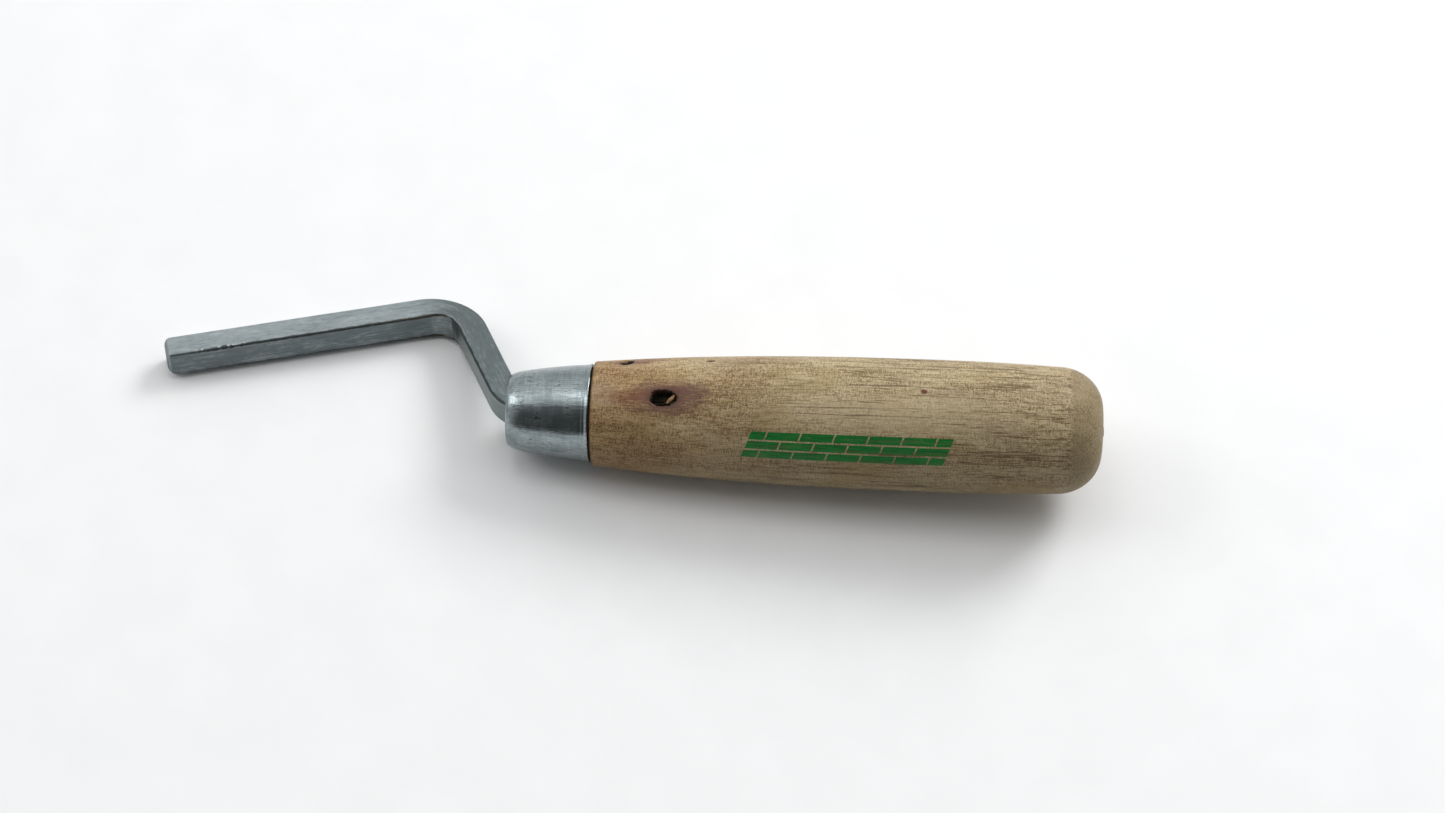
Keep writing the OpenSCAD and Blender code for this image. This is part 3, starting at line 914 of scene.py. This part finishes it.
def splinter_wood():
    look = Look("splinter_wood")
    own = look.place()
    grain = look.noise(look.stretch(own, (3.0, 9.0, 9.0)), detail=4, roughness=0.65)
    colour = look.mix(look.fade(grain, 0.38, 0.62), rgb(182, 138, 86), rgb(84, 58, 36))
    look.set(Base_Color=colour, Roughness=look.fade(grain, 0.3, 0.7, 0.55, 0.75))
    look.set(Normal=look.bump(grain, 0.4, 0.00015))
    return look.material


def floor_paint():
    look = Look("floor_paint")
    node = look.tree.nodes.new("ShaderNodeTexCoord")
    grain = look.noise(node.outputs["Object"], scale=60.0, detail=3)
    colour = look.mix(look.fade(grain, 0.3, 0.7), (0.85, 0.852, 0.855, 1), (0.87, 0.872, 0.875, 1))
    look.set(Base_Color=colour, Roughness=0.75, Specular_IOR_Level=0.15)
    return look.material


# ================================================================ pieces
bar = make_bar()
bar.data.materials.append(bar_steel())
ferrule = make_ferrule()
ferrule.data.materials.append(ferrule_steel())
handle = make_handle()
handle.data.materials.append(handle_wood())
splinter = make_splinter()
splinter.data.materials.append(splinter_wood())

for piece, node, slot in ((bar, "cranked_bar", "bar_steel"), (ferrule, "ferrule", "ferrule_steel"),
                          (handle, "wood_handle", "handle_wood")):
    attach(piece, "root")
    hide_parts(node)
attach(splinter, "root")

# ================================================================ stage
FLOOR_REACH, FLOOR_DROP = 6.0, 0.00005
floor_mesh = bpy.data.meshes.new("floor")
corners = [(-1, -1), (1, -1), (1, 1), (-1, 1)]
floor_mesh.from_pydata([(x * FLOOR_REACH, y * FLOOR_REACH, 0) for x, y in corners], [], [(0, 1, 2, 3)])
floor = bpy.data.objects.new("floor", floor_mesh)
floor.location.z = -FLOOR_DROP
bpy.context.scene.collection.objects.link(floor)
floor.data.materials.append(floor_paint())


def soft_light(name, place, target, size, power):
    lamp = bpy.data.lights.new(name, "AREA")
    lamp.shape = "RECTANGLE"
    lamp.size, lamp.size_y = size
    lamp.energy = power
    light = bpy.data.objects.new(name, lamp)
    light.location = place
    light.rotation_euler = (Vector(target) - Vector(place)).to_track_quat("-Z", "Y").to_euler()
    light.visible_camera = False
    bpy.context.scene.collection.objects.link(light)


# small panels, which give the two soft glints on the ferrule
soft_light("left_panel", (-0.77, 0.08, 0.66), (-0.01, 0, 0.01), (0.42, 0.42), 1.35)
soft_light("top_panel", (-0.2, 0.16, 1.0), (-0.01, 0, 0.01), (0.26, 0.26), 0.5)
# the key, behind and to the right, where the ferrule doesn't mirror it
soft_light("key", (0.66, 0.72, 0.72), (0, 0, 0.01), (0.5, 0.5), 8.5)

# the room, as (degrees round X, level): bright behind and overhead, dark on the camera's side
SKY = ((0.0, 0.78), (22, 0.82), (46, 0.97), (74, 1.1), (101, 1.0), (109, 0.24), (135, 0.1), (180, 0.06),
       (270, 0.3), (360, 0.78))
SKY_MAX = 2.0
SIDE_SHARE = 0.35     # how much of its level the room keeps to the far left and right
LEFT_WALL = 0.72
SEEN_LEVEL = 0.9      # the plain backdrop that the camera sees
world = bpy.data.worlds.new("studio")
bpy.context.scene.world = world
world.use_nodes = True
room = Nodes(world.node_tree)
where = room.tree.nodes.new("ShaderNodeTexCoord")
to_right, to_back, upward = room.split(where.outputs["Generated"])

turn_up = room.math("ARCTAN2", upward, to_back)
turn_up = room.math("FRACT", room.math("DIVIDE", turn_up, 2 * math.pi))
ramp = room.tree.nodes.new("ShaderNodeValToRGB")
room.put(ramp.inputs["Fac"], turn_up)
stops = ramp.color_ramp.elements
while len(stops) < len(SKY):
    stops.new(0.5)
for stop, (degrees, _) in zip(stops, SKY):
    stop.position = degrees / 360
for stop, (_, level) in zip(stops, SKY):
    stop.color = (level / SKY_MAX,) * 3 + (1,)
sides = room.fade(room.math("ABSOLUTE", to_right), 0.55, 1.0, SKY_MAX, SKY_MAX * SIDE_SHARE)
level = room.times(ramp.outputs["Color"], sides)
# a pale wall to the left, which the ferrule's shoulder mirrors
level = room.mix_levels(room.fade(to_right, -0.5, -0.85), level, LEFT_WALL)
seen = room.tree.nodes.new("ShaderNodeLightPath")
level = room.mix_levels(seen.outputs["Is Camera Ray"], level, SEEN_LEVEL)
background = room.tree.nodes["Background"]
room.put(background.inputs["Strength"], level)
background.inputs["Color"].default_value = (0.985, 0.995, 1.0, 1.0)

# ================================================================ camera
CAMERA_PLACE = Vector((68.503, -545.515, 527.421))
CAMERA_LOOK = Vector((-0.05134, 0.72038, -0.69168))
CAMERA_UP = Vector((-0.03642, 0.69069, 0.72223))
camera_data = bpy.data.cameras.new("camera")
camera_data.sensor_width = 36.0
camera_data.lens = 83.46
camera_data.clip_start, camera_data.clip_end = 0.05, 30.0
camera = bpy.data.objects.new("camera", camera_data)
back = -CAMERA_LOOK.normalized()
right = CAMERA_UP.cross(back).normalized()
up = back.cross(right)
turn = Matrix((right, up, back)).transposed().to_4x4()
pose = laid_down(1.0) @ Matrix.Translation(CAMERA_PLACE) @ turn
pose.translation *= MM
camera.matrix_world = pose
bpy.context.scene.collection.objects.link(camera)
bpy.context.scene.camera = camera
bpy.context.scene.view_settings.view_transform = "Standard"
